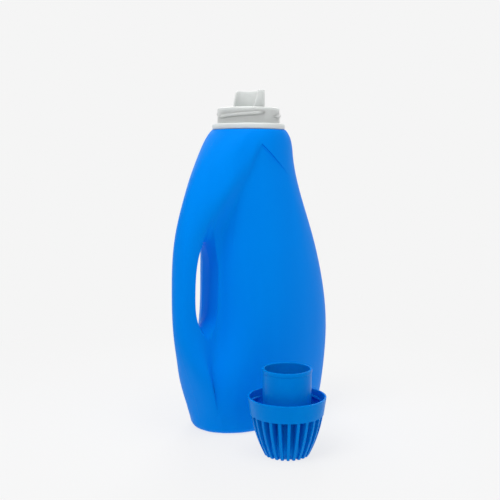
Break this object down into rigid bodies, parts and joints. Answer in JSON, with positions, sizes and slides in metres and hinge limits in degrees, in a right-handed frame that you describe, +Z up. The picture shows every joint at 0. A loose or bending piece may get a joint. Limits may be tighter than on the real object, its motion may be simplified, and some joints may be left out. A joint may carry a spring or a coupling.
{
  "type": "laundry detergent bottle",
  "caption": "Blow-moulded laundry detergent bottle with a hollow side handle, a drain-back pour spout on its neck and a finned measuring cap standing beside it.",
  "frame": {"origin": "on the neck's axis at the level of the base ring", "axes": "+X towards the pour front, -X towards the handle, +Z up the neck's axis"},
  "size_m": [0.1646, 0.1574, 0.2799],
  "materials": {
    "blue_bottle": "satin blow-moulded",
    "white_spout": "smooth moulded",
    "blue_cap": "smooth moulded"
  },
  "bodies": {
    "root": {"bottle": "blue_bottle", "pour_spout": "white_spout", "measuring_cap": "blue_cap"}
  },
  "joints": []
}
